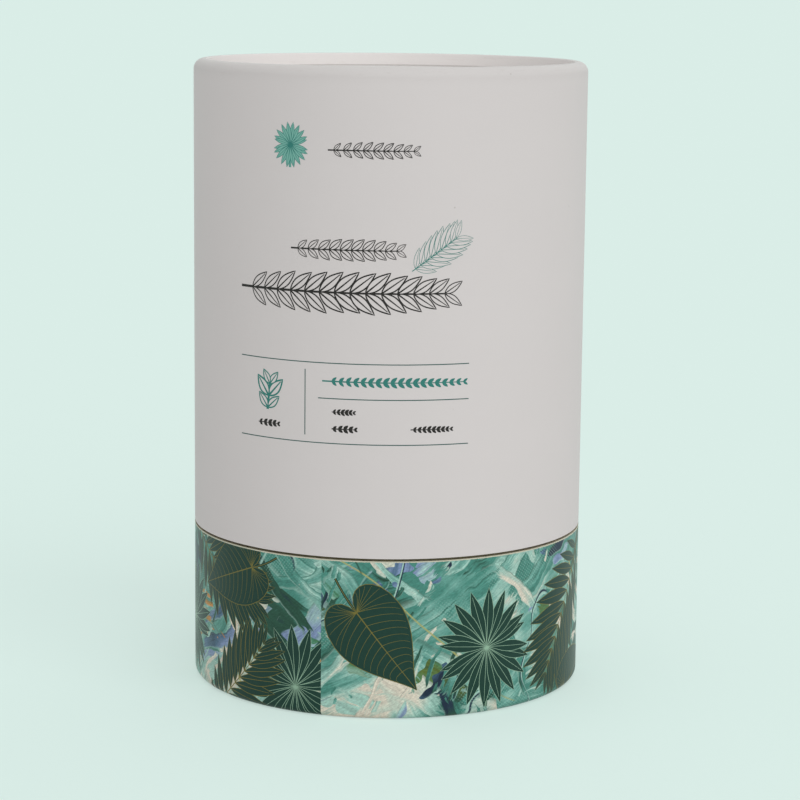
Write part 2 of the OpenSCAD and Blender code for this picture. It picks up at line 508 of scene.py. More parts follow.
class Sheet:
    """A flat paper's sizes, and how it lies on the box."""

    def __init__(self, radius, mouth, wall, thickness):
        self.radius = radius
        self.mouth = mouth
        self.wall = wall
        self.thickness = thickness
        self.rim_up = 1.0
        self.corner = thickness
        self.inner_corner = thickness
        self.land = 0.0
        self.leg = 0.0
        self.lap_azimuth = math.pi
        self.lap_width = 0.0
        self.lap_step = 0.0

    @property
    def width(self):
        return FULL_TURN * self.radius

    def columns(self, facet):
        """Places of the sheet's grid lines round the box."""
        count = round(self.width / facet)
        places = {self.width * index / count for index in range(count + 1)}
        if self.lap_width:
            ease = bpy.context.scene.box_papers.lap_ease
            places |= {self.lap_width + ease * index / EASE_STEPS for index in range(EASE_STEPS + 1)}
        return sorted(places)

    def rows(self, wall_step, turn_steps):
        """Places of the sheet's grid lines from mouth to rim."""
        outer, inner = self.corner * math.pi / 2, self.inner_corner * math.pi / 2
        stretches = [(self.wall, max(round(self.wall / wall_step), 1))]
        if self.leg:
            stretches += [(outer, turn_steps), (self.land, 2), (inner, turn_steps), (self.leg, 3)]
        rows = [0.0]
        for span, count in stretches:
            start = rows[-1]
            rows += [start + span * (index + 1) / count for index in range(count)]
        return rows

    def tree_values(self, paper, edge):
        """Inputs of the wrapping tree for this sheet."""
        papers = bpy.context.scene.box_papers
        return {
            "Radius": self.radius,
            "Mouth": self.mouth,
            "Wall": self.wall if self.leg else self.wall * 2,
            "Corner": self.corner,
            "Land": self.land,
            "Inner Corner": self.inner_corner,
            "Thickness": self.thickness,
            "Rim Up": self.rim_up,
            "Lap Azimuth": self.lap_azimuth,
            "Lap Width": self.lap_width,
            "Lap Step": self.lap_step,
            "Lap Ease": papers.lap_ease,
            "Ink Height": bpy.context.scene.box_inks.ink_height,
            "Waviness": papers.waviness,
            "Pucker": papers.pucker,
            "Paper": paper,
            "Edge": edge,
        }


def wall_sheet(node):
    """The sheet of a plain paper tube."""
    radii = [radius for radius, _, _ in reach(node)]
    low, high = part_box(node)
    return Sheet(max(radii), low.z, high.z - low.z, max(radii) - min(radii))


def wrapping_sheet(node, board_node, facing_node, rim_up):
    """The sheet of a printed paper that follows a tube, its rolled rim and its glued lap."""
    low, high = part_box(node)
    mouth, crest = (low.z, high.z) if rim_up else (high.z, low.z)
    sheet = Sheet(high.x, mouth, abs(crest - mouth), high.x - max(r for r, _, _ in reach(board_node)))
    points = reach(node)
    on_crest = [radius for radius, _, height in points if abs(height - crest) < SAME]
    on_lap = [azimuth for radius, azimuth, _ in points if radius > sheet.radius + SAME]
    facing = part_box(facing_node)[1 if rim_up else 0].z
    sheet.rim_up = 1.0 if rim_up else -1.0
    sheet.corner = sheet.radius - max(on_crest)
    sheet.land = max(on_crest) - min(on_crest)
    sheet.inner_corner = min(on_crest) - min(radius for radius, _, _ in points)
    sheet.wall -= sheet.corner
    sheet.leg = abs(crest - facing) - sheet.inner_corner
    sheet.lap_azimuth = min(on_lap)
    sheet.lap_width = (max(on_lap) - min(on_lap)) * sheet.radius
    sheet.lap_step = max(radius for radius, _, _ in points) - sheet.radius
    return sheet


def lid_sheet():
    return wrapping_sheet("lid_wrap", "lid_tube", "lid_disc_facing", True)


def base_sheet():
    """The base's printed paper, whose cut edge stands a little above the board."""
    sheet = wrapping_sheet("base_wrap", "base_tube", "base_disc_facing", False)
    proud = bpy.context.scene.box_papers.proud_edge
    sheet.mouth += proud
    sheet.wall += proud
    return sheet


# Flat pieces


def new_object(name, points, edges, faces):
    """A mesh object at the origin."""
    mesh = bpy.data.meshes.new(name)
    mesh.from_pydata(points, edges, faces)
    piece = bpy.data.objects.new(name, mesh)
    bpy.context.scene.collection.objects.link(piece)
    return piece


def drop(piece):
    """Removes a helper object and its mesh."""
    mesh = piece.data
    bpy.data.objects.remove(piece)
    bpy.data.meshes.remove(mesh)


def mark_faces(piece, name, marks):
    """Stores a true or false value for each face."""
    attribute = piece.data.attributes.new(name, "BOOLEAN", "FACE")
    attribute.data.foreach_set("value", marks)


def flat_slab(name, points, faces, low, high):
    """A flat piece between two heights, closed round its edges. Its edge faces are marked."""
    used = sorted({index for face in faces for index in face})
    number = {index: position for position, index in enumerate(used)}
    faces = [[number[index] for index in face] for face in faces]
    count = len(used)
    sides = {}
    for face in faces:
        for start, end in zip(face, face[1:] + face[:1]):
            if (end, start) in sides:
                del sides[(end, start)]
            else:
                sides[(start, end)] = True
    top = [(points[index][0], points[index][1], high) for index in used]
    under = [(x, y, low) for x, y, _ in top]
    backs = [[index + count for index in reversed(face)] for face in faces]
    edges = [[start + count, end + count, end, start] for start, end in sides]
    piece = new_object(name, top + under, [], faces + backs + edges)
    mark_faces(piece, CUT_EDGE, [False] * (2 * len(faces)) + [True] * len(edges))
    return piece


def bend_round_box(piece, sheet, paper, edge):
    """Bends a flat piece round the box, and shades it smooth but for its sharp edges."""
    run_tree(piece, round_box_tree(), sheet.tree_values(paper, edge))
    mesh = piece.data
    mesh.polygons.foreach_set("use_smooth", [True] * len(mesh.polygons))
    mesh.set_sharp_from_angle(angle=math.radians(40))
    return piece


def paper_sheet(name, sheet, paper, edge):
    """A paper cut to its sheet and bent round the box."""
    facet = bpy.context.scene.box_papers.facet
    columns = sheet.columns(facet)
    rows = sheet.rows(4 * facet, 10)
    points = [(x, y) for y in rows for x in columns]
    wide = len(columns)
    faces = [
        [row * wide + column, row * wide + column + 1, (row + 1) * wide + column + 1, (row + 1) * wide + column]
        for row in range(len(rows) - 1)
        for column in range(wide - 1)
    ]
    piece = flat_slab(name, points, faces, -sheet.thickness, 0.0)
    return bend_round_box(piece, sheet, paper, edge)


def hand_over(piece, body, slot, *nodes):
    """Makes a piece ride on its body, in place of the nodes it stands for. The slot is not used."""
    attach(piece, body)
    if nodes:
        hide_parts(*nodes)


# Drawing. Shapes are pairs of an ink and an outline, in metres on a flat sheet.


def ribbon(points, width, tip=1.0):
    """Outlines of a line of ink along points, which narrows to a share of its width at the end."""
    points = [Vector(point) for point in points]
    sides = []
    for index, point in enumerate(points):
        ahead = points[min(index + 1, len(points) - 1)] - points[max(index - 1, 0)]
        half = width / 2 * (1 + (tip - 1) * index / (len(points) - 1))
        across = Vector((-ahead.y, ahead.x)).normalized() * half
        sides.append((point + across, point - across))
    return [[a, b, d, c] for (a, b), (c, d) in zip(sides, sides[1:])]


def ring_ribbon(points, width):
    """Outlines of a line of ink round a closed outline."""
    closed = [Vector(point) for point in (points[-1], *points, points[0], points[1])]
    return ribbon(closed, width)[1:-1]


def blade(long, wide, fullness=0.8, count=9):
    """Outline of a pointed leaf from its foot at the origin along +X."""
    upper = []
    for step in range(1, count):
        share = step / count
        upper.append((long * share, wide / 2 * math.sin(math.pi * share**fullness)))
    return [(0, 0), *((x, -y) for x, y in upper), (long, 0), *reversed(upper)]


def stem_points(foot, heading, long, bend, count=14):
    """Points along a stem that sets off at a heading in degrees and turns by bend on its way."""
    points = [Vector(foot)]
    for index in range(count):
        angle = math.radians(heading + bend * (index + 0.5) / count)
        points.append(points[-1] + Vector((math.cos(angle), math.sin(angle))) * long / count)
    return points


def leaf_object(outline, midrib, line, side_veins=0):
    """A flat leaf to be repeated: its blade, and the ink lines on it, which are marked."""
    outlines = [outline]
    outlines += ribbon([(0, 0), (midrib / 2, 0), (midrib, 0)], line, 0.5)
    outlines += ring_ribbon(outline, line * 0.8)
    for index in range(side_veins):
        foot = midrib * (0.12 + 0.72 * index / side_veins)
        for side in (1, -1):
            reach_out = min(midrib * 0.16, 0.7 * max(y for _, y in outline))
            outlines += ribbon([(foot, 0), (foot + reach_out * 1.2, side * reach_out)], line * 0.6)
    points, faces = [], []
    for shape in outlines:
        faces.append(list(range(len(points), len(points) + len(shape))))
        points += [(point[0], point[1], 0.0) for point in shape]
    leaf = new_object("leaf_shape", points, [], faces)
    mark_faces(leaf, INK, [index > 0 for index in range(len(faces))])
    return leaf


def spray(stem, leaf, count, sizes, angles, inks, seed, swing=3.0):
    """Shapes of leaves along a stem. Sizes are at foot, middle and tip, angles at foot and tip."""
    points = [(point.x, point.y, 0.0) for point in stem]
    piece = new_object("stem_line", points, [(index, index + 1) for index in range(len(points) - 1)], [])
    blank = bpy.data.materials.get("blank") or bpy.data.materials.new("blank")
    values = {
        "Leaf": leaf,
        "Count": count,
        "Seed": seed,
        "Foot Size": sizes[0],
        "Middle Size": sizes[1],
        "Tip Size": sizes[2],
        "Foot Angle": math.radians(angles[0]),
        "Tip Angle": math.radians(angles[1]),
        "Swing": math.radians(swing),
        "Blade Ink": blank,
        "Line Ink": blank,
    }
    run_tree(piece, leaf_spray_tree(), values)
    mesh = piece.data
    corners = [vertex.co.to_2d() for vertex in mesh.vertices]
    lines = [entry.value for entry in mesh.attributes[INK].data]
    shapes = [
        (inks[1] if lines[face.index] else inks[0], [corners[index] for index in face.vertices])
        for face in mesh.polygons
    ]
    drop(piece)
    return shapes


def in_ink(ink, outlines):
    """Shapes of some outlines in one ink."""
    return [(ink, outline) for outline in outlines]


def twig(foot, heading, long, bend, inks, seed, line, leaf_size, count, veins=0, angles=(54, 30)):
    """A twig with pointed oval leaves in pairs. Leaf size is a leaf's length and width."""
    leaf_long, leaf_wide = leaf_size
    stem = stem_points(foot, heading, long, bend)
    leaf = leaf_object(blade(leaf_long, leaf_wide, 0.85, 12), leaf_long * 0.88, line, veins)
    shapes = in_ink(inks[1], ribbon(stem, line * 1.5, 0.6))
    shapes += spray(stem[1:], leaf, count, (0.8, 1.05, 0.7), angles, inks, seed)
    drop(leaf)
    return shapes


def lance_sprig(foot, heading, long, bend, inks, seed, line):
    """A sprig with a few broad lance-shaped leaves."""
    return twig(foot, heading, long, bend, inks, seed, line, (long * 0.36, long * 0.14), 6, 6)


def feather_frond(foot, heading, long, bend, inks, seed, line):
    """A palm frond with narrow leaflets along an arching midrib."""
    stem = stem_points(foot, heading, long, bend)
    leaf = leaf_object(blade(long * 0.38, long * 0.085, 0.9), long * 0.33, line)
    shapes = spray(stem[2:], leaf, 12, (0.6, 1.1, 0.4), (66, 24), inks, seed)
    drop(leaf)
    return shapes + in_ink(inks[1], ribbon(stem, line * 2, 0.5))


def fan_leaf(foot, heading, long, bend, inks, seed, line):
    """A fan palm leaf whose pleats spread round the end of its stalk."""
    stalk = stem_points(foot, heading, long * 0.62, bend)
    hub = stalk[-1]
    ahead = math.degrees(math.atan2(*reversed((hub - stalk[-2])[:])))
    arc = stem_points(hub, ahead - 176, long * 0.03, 172, 24)
    leaf = leaf_object(blade(long * 0.62, long * 0.135, 1.15), long * 0.56, line)
    shapes = spray(arc, leaf, 10, (0.86, 1.0, 0.86), (90, 90), inks, seed, 1.5)
    drop(leaf)
    return in_ink(inks[0], ribbon(stalk, line * 4)) + in_ink(inks[1], ribbon(stalk, line * 1.4)) + shapes


def heart_leaf(foot, heading, long, bend, inks, seed, line):
    """A broad heart-shaped leaf with curved veins. Its seed gives the leaf its lean."""
    stalk = stem_points(foot, heading, long * 0.4, bend)
    notch = stalk[-1]
    ahead = math.atan2(*reversed((notch - stalk[-2])[:]))
    turn = Matrix.Rotation(ahead + math.radians(9 * math.sin(seed)), 2)
    half = 0.4 * long
    lobe = interpolate_bezier(
        Vector((0, 0)), Vector((-0.3 * long, 0.1 * half)), Vector((-0.26 * long, half)), Vector((0.16 * long, half)), 10
    )
    flank = interpolate_bezier(
        Vector((0.16 * long, half)), Vector((0.5 * long, half)), Vector((0.72 * long, 0.3 * half)), Vector((long, 0)), 14
    )
    upper = [Vector(point[:2]) for point in lobe + flank[1:]]
    lower = [Vector((point.x, -point.y)) for point in upper[1:-1]]
    outline = upper + lower[::-1]

    def placed(points):
        return [notch + turn @ Vector(point) for point in points]

    shapes = in_ink(inks[0], [placed(outline)])
    veins = [ribbon(placed([(0, 0), (0.5 * long, 0), (0.97 * long, 0)]), line * 1.8, 0.4)]
    veins.append(ring_ribbon(placed(outline), line))
    rim = upper[3:-3]
    for index, end in enumerate(rim):
        start = Vector((0.84 * long * max(index - 7, 0) / (len(rim) - 7), 0))
        knee = start.lerp(end, 0.5) + Vector((-0.03 * long, 0.16 * half))
        for side in (1, -1):
            curve = interpolate_bezier(start, start.lerp(knee, 0.66), end.lerp(knee, 0.66), start.lerp(end, 0.94), 7)
            veins.append(ribbon(placed([(p[0], side * p[1]) for p in curve]), line * 0.7, 0.5))
    for vein in veins:
        shapes += in_ink(inks[1], vein)
    return in_ink(inks[0], ribbon(stalk, line * 4)) + in_ink(inks[1], ribbon(stalk, line)) + shapes


def on_sheet(sheet, shapes, origin):
    """Moves shapes drawn upright, with heights above the floor, on to a flat sheet."""
    moved = []
    for ink, outline in shapes:
        points = [(p[0] + origin, sheet.rim_up * (p[1] - sheet.mouth)) for p in outline]
        area = sum(a[0] * b[1] - b[0] * a[1] for a, b in zip(points, points[1:] + points[:1]))
        moved.append((ink, points if area > 0 else points[::-1]))
    return moved


def top_shapes(shapes, places):
    """Number of the uppermost shape over each place, from rays cast down on the stacked shapes."""
    corners, faces = [], []
    for level, (_, outline) in enumerate(shapes):
        faces.append(range(len(corners), len(corners) + len(outline)))
        corners += [(x / MM, y / MM, level * STACK_STEP) for x, y in outline]
    stack = BVHTree.FromPolygons(corners, faces)
    above = len(shapes) * STACK_STEP
    return [stack.ray_cast((place.x, place.y, above), (0, 0, -1))[2] for place in places]


def printed(name, sheet, shapes, inks):
    """Prints shapes on a sheet, one object for each ink. Later shapes cover earlier ones."""
    papers = bpy.context.scene.box_papers
    settings = bpy.context.scene.box_inks
    left = min(point[0] for _, outline in shapes for point in outline)
    right = max(point[0] for _, outline in shapes for point in outline)
    columns = [x for x in sheet.columns(papers.facet) if left < x < right]
    columns = sorted({0.0, *columns, sheet.width})
    rows = [row for row in sheet.rows(4 * papers.facet, 10) if row > papers.worn_edge]
    rows = [papers.worn_edge, *rows]
    points, lines = [], []
    for _, outline in shapes:
        start, count = len(points), len(outline)
        lines += [(start + index, start + (index + 1) % count) for index in range(count)]
        points += [Vector(point) / MM for point in outline]
    grid = [((x, rows[0]), (x, rows[-1])) for x in columns] + [((0.0, y), (sheet.width, y)) for y in rows]
    for ends in grid:
        lines.append((len(points), len(points) + 1))
        points += [Vector(end) / MM for end in ends]
    corners, _, triangles, *_ = delaunay_2d_cdt(points, lines, [], 0, WELD)
    middles = [(corners[a] + corners[b] + corners[c]) / 3 for a, b, c in triangles]
    corners = [corner * MM for corner in corners]
    by_ink = {ink: [] for ink in inks}
    for triangle, middle, shape in zip(triangles, middles, top_shapes(shapes, middles)):
        ink = BARE if shape is None else shapes[shape][0]
        if ink != BARE and 0 < middle.x * MM < sheet.width and rows[0] < middle.y * MM < rows[-1]:
            by_ink[ink].append(list(triangle))
    pieces = []
    for ink, faces in by_ink.items():
        piece = flat_slab(f"{name}_{ink}", corners, faces, -settings.ink_root, settings.ink_height)
        pieces.append(bend_round_box(piece, sheet, inks[ink], inks[ink]))
    return pieces


# Materials


def new_surface(name, roughness, base, height, gloss=0.3):
    """A material on one Principled shader. Base takes a patch and gives the colour's wire.

    Height takes a patch and gives the bump's distance and the wire of its relief."""
    material = bpy.data.materials.new(name)
    material.use_nodes = True
    material.node_tree.nodes.clear()
    patch = Patch(material.node_tree)
    inputs = {"Base Color": base(patch), "Roughness": roughness, "Specular IOR Level": gloss}
    distance, relief = height(patch)
    inputs["Normal"] = patch.node("ShaderNodeBump", None, {"Distance": distance, "Height": relief})
    shader = patch.node("ShaderNodeBsdfPrincipled", None, inputs)
    patch.node("ShaderNodeOutputMaterial", None, {"Surface": shader})
    return material


def flat_place(patch):
    """Place on the flat sheet, in millimetres."""
    stored = patch.node("ShaderNodeAttribute", {"attribute_name": FLAT}, None, "Vector")
    return patch.scaled(stored, 1 / MM)


def solid_place(patch):
    """Place in the box's own space, in millimetres."""
    return patch.scaled(patch.node("ShaderNodeTexCoord", None, None, "Object"), 1 / MM)


def fibres(patch, place, strength=1.0):
    """Height of a paper's fibres, about a tenth of a millimetre apart."""
    felt = patch.noise(patch.stretch(place, (5.0, 9.0, 7.0)), 1.0, 3.0, 0.6)
    cloud = patch.noise(place, 0.5, 2.0)
    return (felt * 0.7 + cloud * 0.6) * strength


def specks(patch, place, spacing, size, share):
    """Mask of scattered specks: their spacing and size in millimetres, and the share that shows."""
    near, tint = patch.node(
        "ShaderNodeTexVoronoi",
        {"voronoi_dimensions": "3D"},
        {"Vector": place, "Scale": 1 / spacing},
        ("Distance", "Color"),
    )
    chance, spread, _ = patch.split(tint)
    return patch.smooth(near, size / spacing * 0.4, size / spacing, 1.0, 0.0) * (chance < share) * spread


def joint(patch, place, climb, width, gap):
    """Mask of the slanted joint of a wound paper, given its climb in a turn, the turn and the joint."""
    along, up, _ = patch.split(place)
    turn = (up / climb - along / width).fraction()
    return patch.smooth((turn - 0.5).size(), 0.0, gap / climb, 1.0, 0.0)


def white_paper(name, place_of):
    """Matt coated white paper of the lid, faintly clouded, with a few specks.

    On the crest it is greyed in scuffed patches, which are wear and painted shade, and it is darkened all round as
    painted shade. Behind the rim it is made brighter as painted light. A dark line at the disc is painted shade in that
    corner, where the joint is."""
    papers = bpy.context.scene.box_papers
    sheet = lid_sheet()
    rim = sheet.wall / MM
    inside = rim + (sheet.corner * math.pi / 2 + sheet.land) / MM
    foot = inside + (sheet.inner_corner * math.pi / 2 + sheet.leg) / MM

    def base(patch):
        place = place_of(patch)
        cloud = patch.noise(patch.stretch(place, (0.035, 0.05, 0.04)), 1.0, 4.0, 0.6)
        shade = patch.mix(cloud, tuple(c * 0.955 for c in papers.white), papers.white)
        fine = patch.noise(place, 1.6, 3.0, 0.7)
        shade = patch.mix(fine * 0.5, shade, tuple(min(c * 1.03, 1) for c in papers.white))
        marks = specks(patch, place, 9.0, 0.32, 0.3) * 0.45
        shade = patch.mix(marks, shade, srgb(150, 140, 128))
        scuff_and_shade_noise = patch.noise(patch.stretch(place, (0.16, 0.9, 0.5)), 1.0, 3.0, 0.7)
        _, up, _ = patch.split(place)
        # Scuffed patches on the crest: wear, and painted shade that darkens the crest
        scuffs_and_crest_shade = patch.smooth(up, rim - 2.5, rim + 1.5) * patch.smooth(scuff_and_shade_noise, 0.56, 0.72)
        shade = patch.mix(scuffs_and_crest_shade * 0.3, shade, srgb(206, 200, 196))
        # Painted shade: the crest darkened all round
        shade = patch.scaled(shade, patch.smooth(up, rim - 2.5, rim + 1.5, 1.0, 0.96))
        # Painted light: the paper behind the rim made brighter
        shade = patch.scaled(shade, patch.smooth(up, inside, inside + 0.5, 1.0, 1.25))
        # Painted shade: a dark line at the foot of the leg, in the corner at the disc, where the joint is
        return patch.mix(patch.smooth(up, foot - 0.55, foot - 0.15) * 0.42, shade, srgb(128, 122, 116))

    def relief(patch):
        place = place_of(patch)
        _, up, _ = patch.split(place)
        gathers = patch.noise(patch.stretch(place, (1.4, 0.35, 0.0)), 1.0, 2.0, 0.6)
        return 0.012 * MM, fibres(patch, place) + gathers * patch.smooth(up, rim - 1.5, rim + 1.0) * 2.5

    return new_surface(name, 0.62, base, relief)


def edge_paper():
    """Cut edge of a printed paper: its pale core."""
    papers = bpy.context.scene.box_papers

    def base(patch):
        grain = patch.noise(solid_place(patch), 3.0, 3.0, 0.6)
        return patch.mix(grain, tuple(c * 0.86 for c in papers.core), papers.core)

    return new_surface("paper_edge", 0.8, base, lambda patch: (0.02 * MM, fibres(patch, solid_place(patch))))


def plain_paper(name, tint, place_of, climb=0.0, width=0.0, flecks=0.0):
    """Uncoated paper, with flecks and, where it is wound, its slanted joint."""
    dark = tuple(c * 0.62 for c in tint)

    def base(patch):
        place = place_of(patch)
        cloud = patch.noise(patch.stretch(place, (0.12, 0.3, 0.2)), 1.0, 4.0, 0.65)
        shade = patch.mix(cloud, tuple(c * 0.86 for c in tint), tuple(min(c * 1.08, 1) for c in tint))
        strands = patch.noise(patch.stretch(place, (0.7, 5.0, 3.0)), 1.0, 3.0, 0.7)
        shade = patch.mix(patch.smooth(strands, 0.56, 0.74) * flecks, shade, dark)
        shade = patch.mix(specks(patch, place, 2.2, 0.3, 0.4) * flecks, shade, dark)
        if climb:
            shade = patch.mix(joint(patch, place, climb, width, 0.35) * 0.5, shade, dark)
        return shade

    def relief(patch):
        place = place_of(patch)
        height = fibres(patch, place, 1.3)
        if climb:
            height = height - joint(patch, place, climb, width, 0.6) * 4.0
        return 0.02 * MM, height

    return new_surface(name, 0.82, base, relief)


def wound_paper(name, tint, sheet, flecks=0.0):
    """Paper wound on a tube, with the joint that climbs round it."""
    climb = bpy.context.scene.box_papers.winding / MM
    return plain_paper(name, tint, flat_place, climb, sheet.width / MM, flecks)


def board_surface():
    """Grey board, with the plies that show on its cut edges."""
    papers = bpy.context.scene.box_papers
    ply = papers.ply / MM
    dark = tuple(c * 0.72 for c in papers.board)

    def layers(patch, place):
        across, deep, _ = patch.split(place)
        radius = (across * across + deep * deep).root()
        ragged = patch.noise(place, 0.8, 2.0) * 0.3
        return patch.smooth((((radius + ragged) / ply).fraction() - 0.5).size(), 0.3, 0.5)

    def base(patch):
        place = solid_place(patch)
        grain = patch.noise(place, 2.4, 4.0, 0.7)
        shade = patch.mix(grain, tuple(c * 0.9 for c in papers.board), papers.board)
        return patch.mix(layers(patch, place) * 0.5, shade, dark)

    def relief(patch):
        place = solid_place(patch)
        return 0.03 * MM, fibres(patch, place, 1.5) - layers(patch, place)

    return new_surface("board", 0.88, base, relief)


def ink_surface(name, tint, roughness, gloss=0.2):
    """A printed ink, a little uneven over the paper's grain."""

    def base(patch):
        place = flat_place(patch)
        density = patch.noise(place, 0.7, 4.0, 0.65)
        shade = patch.mix(density, tuple(c * 0.84 for c in tint), tuple(min(c * 1.14, 1) for c in tint))
        worn = patch.smooth(patch.noise(place, 4.0, 2.0), 0.6, 0.75)
        return patch.mix(worn * 0.25, shade, tuple(c**0.7 for c in tint))

    return new_surface(name, roughness, base, lambda patch: (0.008 * MM, fibres(patch, flat_place(patch))), gloss)


def brush_layer(patch, place, under, tone, stroke, pigments, where=1.0):
    """Flat strokes in one direction, over the paint beneath, as far as the mask where lets them.

    A stroke is its angle in degrees, its length and width in mm, its share of the ground, how far
    its pigment strays from the tone beneath, and a seed. Pigments run from dark to light."""
    paint = bpy.context.scene.box_paint
    angle, long, wide, share, stray, seed = stroke
    turned = patch.turn(place, angle)
    wobble = patch.shift(patch.noise(turned, 0.45 / wide, 3.0, 0.55, "Color"), (-0.5,) * 3)
    along, across, _ = patch.split(patch.shift(turned, patch.scaled(wobble, 1.1 * wide)))
    lane = across / wide + seed
    row = lane.whole()
    start, _, _ = patch.chances(row, seed)
    run = along / long + start * 9.0
    pick, luck, girth = patch.chances(row, run.whole(), seed)
    bristle = patch.noise(patch.vector(along * 0.06, across * 1.1, pick * 40.0), 1.0, 4.0, 0.7)
    drag = patch.noise(patch.vector(along * 0.04, across * 0.3, pick * 40.0), 1.0, 2.0, 0.5)
    offset = lane.fraction() - 0.5
    half = girth * 0.18 + 0.31
    side = offset.size() + (drag - 0.5) * 0.3
    end = (run.fraction() - 0.5).size() + (bristle - 0.5) * 0.5 + (drag - 0.5) * 0.3
    body = patch.smooth(side, half - 0.03, half, 1.0, 0.0) * patch.smooth(end, 0.38, 0.42, 1.0, 0.0)
    body = body * (luck < where * share)
    shade = patch.ramp(pigments, tone + (pick - 0.5) * stray + (drag - 0.5) * 0.5 + (bristle - 0.5) * 0.4)
    shade = patch.scaled(shade, bristle * 1.1 + 0.45)
    shade = patch.mix(patch.smooth(offset, half - 0.14, half - 0.03) * bristle, shade, paint.mint)
    shade = patch.mix(patch.smooth(offset * -1.0, half - 0.12, half - 0.02) * bristle, shade, paint.deep)
    return patch.mix(body, under, shade)


def knife_lines(patch, place, under, angle, spacing, seed, tint):
    """Thin straight lines that a palette knife leaves, broken here and there."""
    along, across, _ = patch.split(patch.shift(patch.turn(place, angle), (seed, seed, 0.0)))
    drift = patch.noise(patch.vector(along * 0.02, across * 0.02, seed), 1.0, 1.0) * 0.6
    near = ((across / spacing + drift).fraction() - 0.5).size() * spacing
    broken = patch.smooth(patch.noise(patch.vector(along * 0.045, across * 0.06, seed), 1.0, 1.0), 0.52, 0.58)
    return patch.mix(patch.smooth(near, 0.12, 0.4, 1.0, 0.0) * broken * 0.85, under, tint)


def paint_ridge(patch, place, under, seed):
    """Curved edge of thick paint: its shadow, and beside it the pale lip."""
    paint = bpy.context.scene.box_paint
    field = patch.noise(patch.shift(place, (seed, seed * 1.7, 0.0)), 0.016, 2.5, 0.4)
    girth = patch.noise(place, 0.12, 2.0) * 0.0055
    broken = patch.smooth(patch.noise(patch.shift(place, (seed * 3.1, 0.0, 0.0)), 0.03, 1.0), 0.5, 0.56)
    for level, tint in ((0.5, paint.navy), (0.5035, paint.mint)):
        near = patch.smooth((field - level).size(), girth * 0.4, girth, 1.0, 0.0)
        under = patch.mix(near * broken, under, tint)
    return under


def painted_ground(patch):
    """Colour of the painted ground: layers of strokes, then knife lines, canvas weave and flecks."""
    paint = bpy.context.scene.box_paint
    papers = bpy.context.scene.box_papers
    place = flat_place(patch)
    slow = patch.shift(patch.noise(place, 0.018, 2.0, 0.45, "Color"), (-0.5,) * 3)
    swirled = patch.shift(place, patch.scaled(slow, 30.0))
    tone = (patch.noise(patch.shift(place, (71.0, 13.0, 0.0)), 0.026, 3.0, 0.55) - 0.5) * 2.6 + 0.62
    streaks = patch.noise(patch.stretch(patch.turn(swirled, 35), (0.012, 0.3, 0.0)), 1.0, 4.0, 0.6)

    body = [paint.navy, paint.deep, paint.deep, paint.teal, paint.teal, paint.sea, paint.mint, paint.cream]
    blues = [paint.navy, paint.navy, paint.steel, paint.lavender, paint.mint]
    greens = [paint.deep, paint.moss, paint.leaf, paint.sea, paint.mint]
    pales = [paint.teal, paint.mint, paint.cream, paint.cream]
    warms = [paint.navy, paint.moss, paint.ochre, paint.ochre, paint.cream]
    ground = patch.ramp(body, tone + (streaks - 0.5) * 0.6)

    def patches(seed, start):
        """Mask of broad patches."""
        cloud = patch.noise(patch.shift(place, (seed, seed * 2.3, 0.0)), 0.03, 3.0, 0.6)
        return patch.smooth(cloud, start, start + 0.06)

    layers = (
        ((24, 74, 26, 0.8, 0.5, 3.1), body),
        ((-34, 56, 19, 0.5, 0.5, 7.7), body),
        ((52, 60, 15, 0.75, 0.6, 9.3), blues, patches(40.0, 0.51)),
        ((-22, 50, 13, 0.7, 0.6, 15.9), greens, patches(75.0, 0.53)),
        ((58, 42, 11, 0.4, 0.6, 12.4), body),
        ((-16, 36, 9, 0.8, 0.5, 17.2), pales, patches(90.0, 0.55)),
        ((36, 34, 6, 0.35, 0.6, 23.9), body),
        ((-48, 28, 4, 0.3, 0.8, 31.3), body),
        ((30, 22, 3.2, 0.6, 0.8, 41.8), blues, patches(140.0, 0.56)),
        ((-24, 18, 2.6, 0.8, 0.8, 53.5), warms, patches(210.0, 0.6)),
        ((64, 12, 1.3, 0.35, 0.8, 67.1), body, patches(260.0, 0.5)),
    )
    for stroke, pigments, *where in layers:
        ground = brush_layer(patch, swirled, ground, tone, stroke, pigments, *where)
    for seed in (37.0, 83.0, 129.0):
        ground = paint_ridge(patch, place, ground, seed)
    ground = knife_lines(patch, place, ground, 47, 31, 5.0, paint.mint)
    ground = knife_lines(patch, place, ground, -39, 43, 11.0, srgb(176, 176, 110))
    ground = knife_lines(patch, place, ground, -52, 57, 19.0, paint.deep)
    grain = patch.noise(patch.stretch(patch.turn(place, 30), (0.9, 2.2, 0.0)), 1.0, 4.0, 0.7)
    ground = patch.scaled(ground, grain * 1.3 + 0.36)
    along, across, _ = patch.split(patch.turn(place, 8))
    weave = (along * (math.pi / 0.55)).sine() * (across * (math.pi / 0.55)).sine()
    bare = patches(330.0, 0.51) * patch.smooth(weave, 0.2, 0.9)
    ground = patch.mix(bare * 0.4, ground, paint.mint)
    ground = patch.mix(specks(patch, place, 3.0, 0.45, 0.2) * 0.8, ground, paint.cream)
    _, up, _ = patch.split(place)
    ragged = (patch.noise(place, 2.2, 3.0, 0.7) - 0.5) * 0.5 + papers.worn_edge / MM
    return patch.mix(patch.smooth(up - ragged, -0.04, 0.04, 1.0, 0.0), ground, papers.core)


def painted_paper():
    """The base's printed paper, with a satin laminate."""

    def relief(patch):
        return 0.006 * MM, fibres(patch, flat_place(patch))

    return new_surface("leaf_print", 0.36, painted_ground, relief, 0.2)


# Operators


class GIFTBOX_OT_base_papers(bpy.types.Operator):
    """Wraps the printed paper round the base"""

    bl_idname = "giftbox.base_papers"
    bl_label = "Wrap the base"

    def execute(self, context):
        piece = paper_sheet("base_printed_paper", base_sheet(), painted_paper(), edge_paper())
        hand_over(piece, "base", "leaf_print", "base_wrap")
        return {"FINISHED"}


